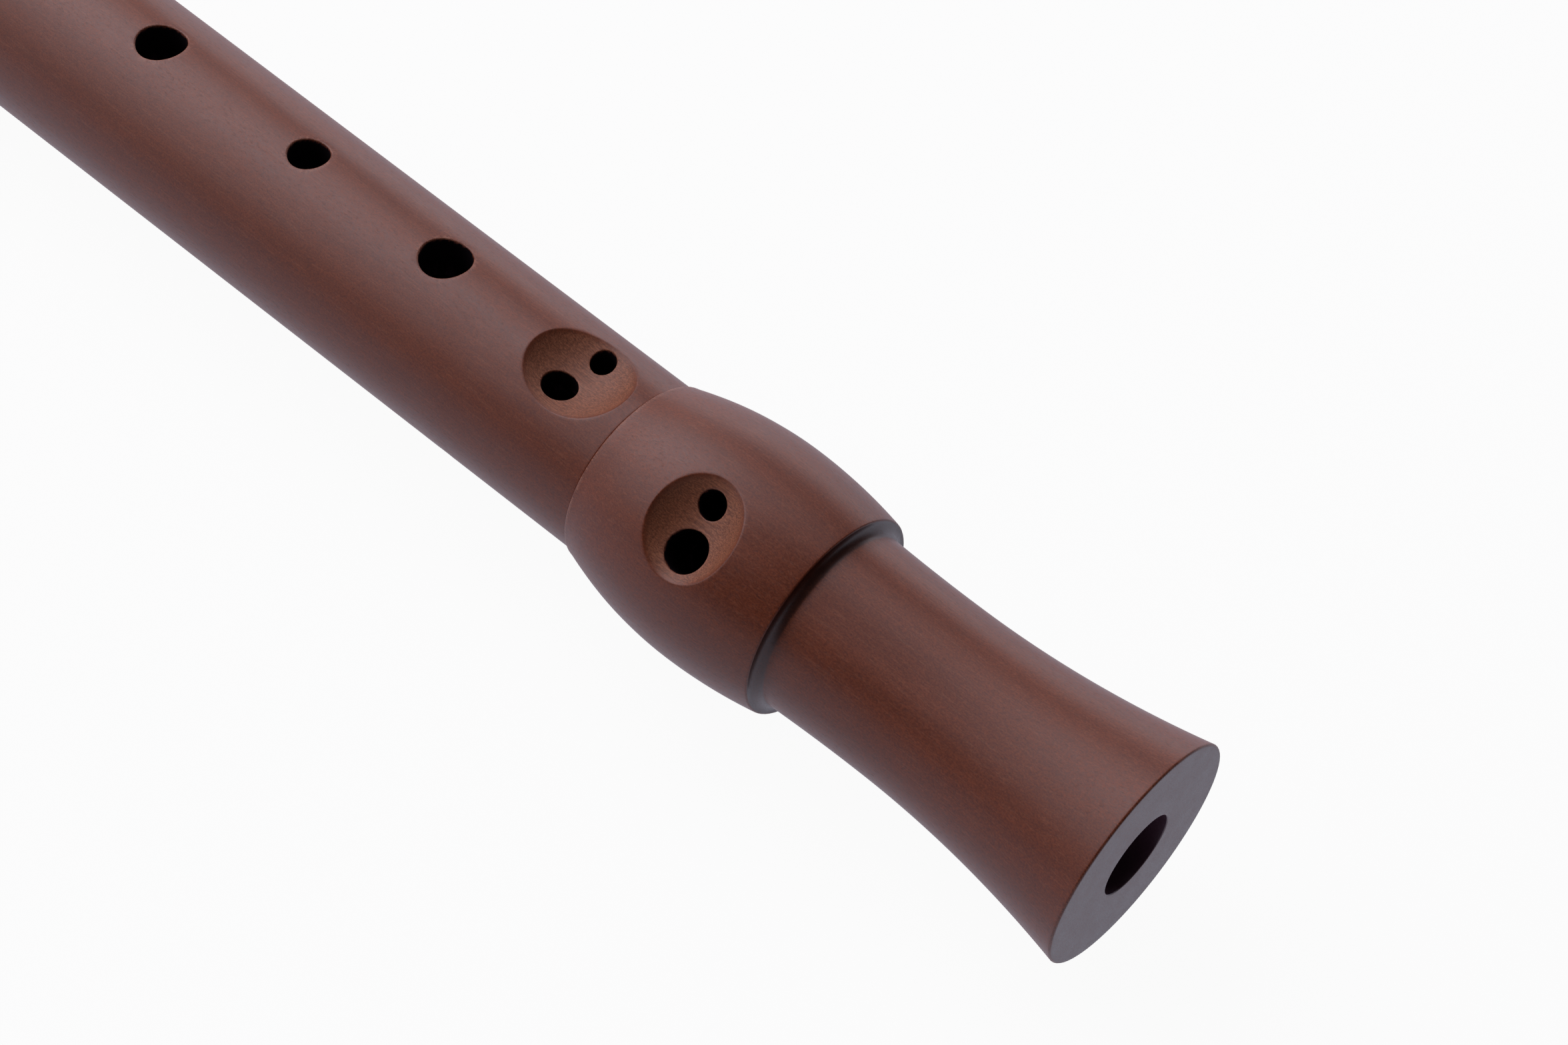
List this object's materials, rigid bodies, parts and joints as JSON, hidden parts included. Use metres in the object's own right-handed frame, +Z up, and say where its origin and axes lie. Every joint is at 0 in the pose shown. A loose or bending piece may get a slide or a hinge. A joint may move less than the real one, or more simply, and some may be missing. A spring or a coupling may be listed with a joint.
{
  "type": "recorder",
  "caption": "Wooden soprano recorder in three joints: beaked head with cedar block, tapered middle with finger holes, and a foot with barrel, step and flared end.",
  "frame": {"origin": "under the middle of the instrument's length, on the surface that it lies on", "axes": "+X along the bore towards the foot's open end, +Z up through the finger holes, -Y towards the player's right hand side"},
  "size_m": [0.3282, 0.0264, 0.0263],
  "materials": {
    "stained_wood": "satin dark red-brown stain over fine-pored wood",
    "cedar": "raw cedar, matt",
    "cork": "greased cork sheet, matt"
  },
  "bodies": {
    "middle": {"middle_joint": "stained_wood"},
    "upper_grip": {"upper_tenon_cork": "cork"},
    "head": {"head_joint": "stained_wood"},
    "block": {"block": "cedar"},
    "lower_grip": {"lower_tenon_cork": "cork"},
    "foot": {"foot_joint": "stained_wood"}
  },
  "joints": [
    {"name": "head_turn", "type": "hinge", "parent": "middle", "child": "upper_grip", "pos_m": [-0.0401, 0, 0.01316], "axis": [1, 0, 0], "continuous": true},
    {"name": "head_pull", "type": "slide", "parent": "upper_grip", "child": "head", "axis": [-1, 0, 0], "range_m": [0, 0.03]},
    {"name": "block_out", "type": "slide", "parent": "head", "child": "block", "axis": [-1, 0, 0], "range_m": [0, 0.045]},
    {"name": "foot_turn", "type": "hinge", "parent": "middle", "child": "lower_grip", "pos_m": [0.0979, 0, 0.01316], "axis": [1, 0, 0], "continuous": true},
    {"name": "foot_pull", "type": "slide", "parent": "lower_grip", "child": "foot", "axis": [1, 0, 0], "range_m": [0, 0.018]}
  ]
}
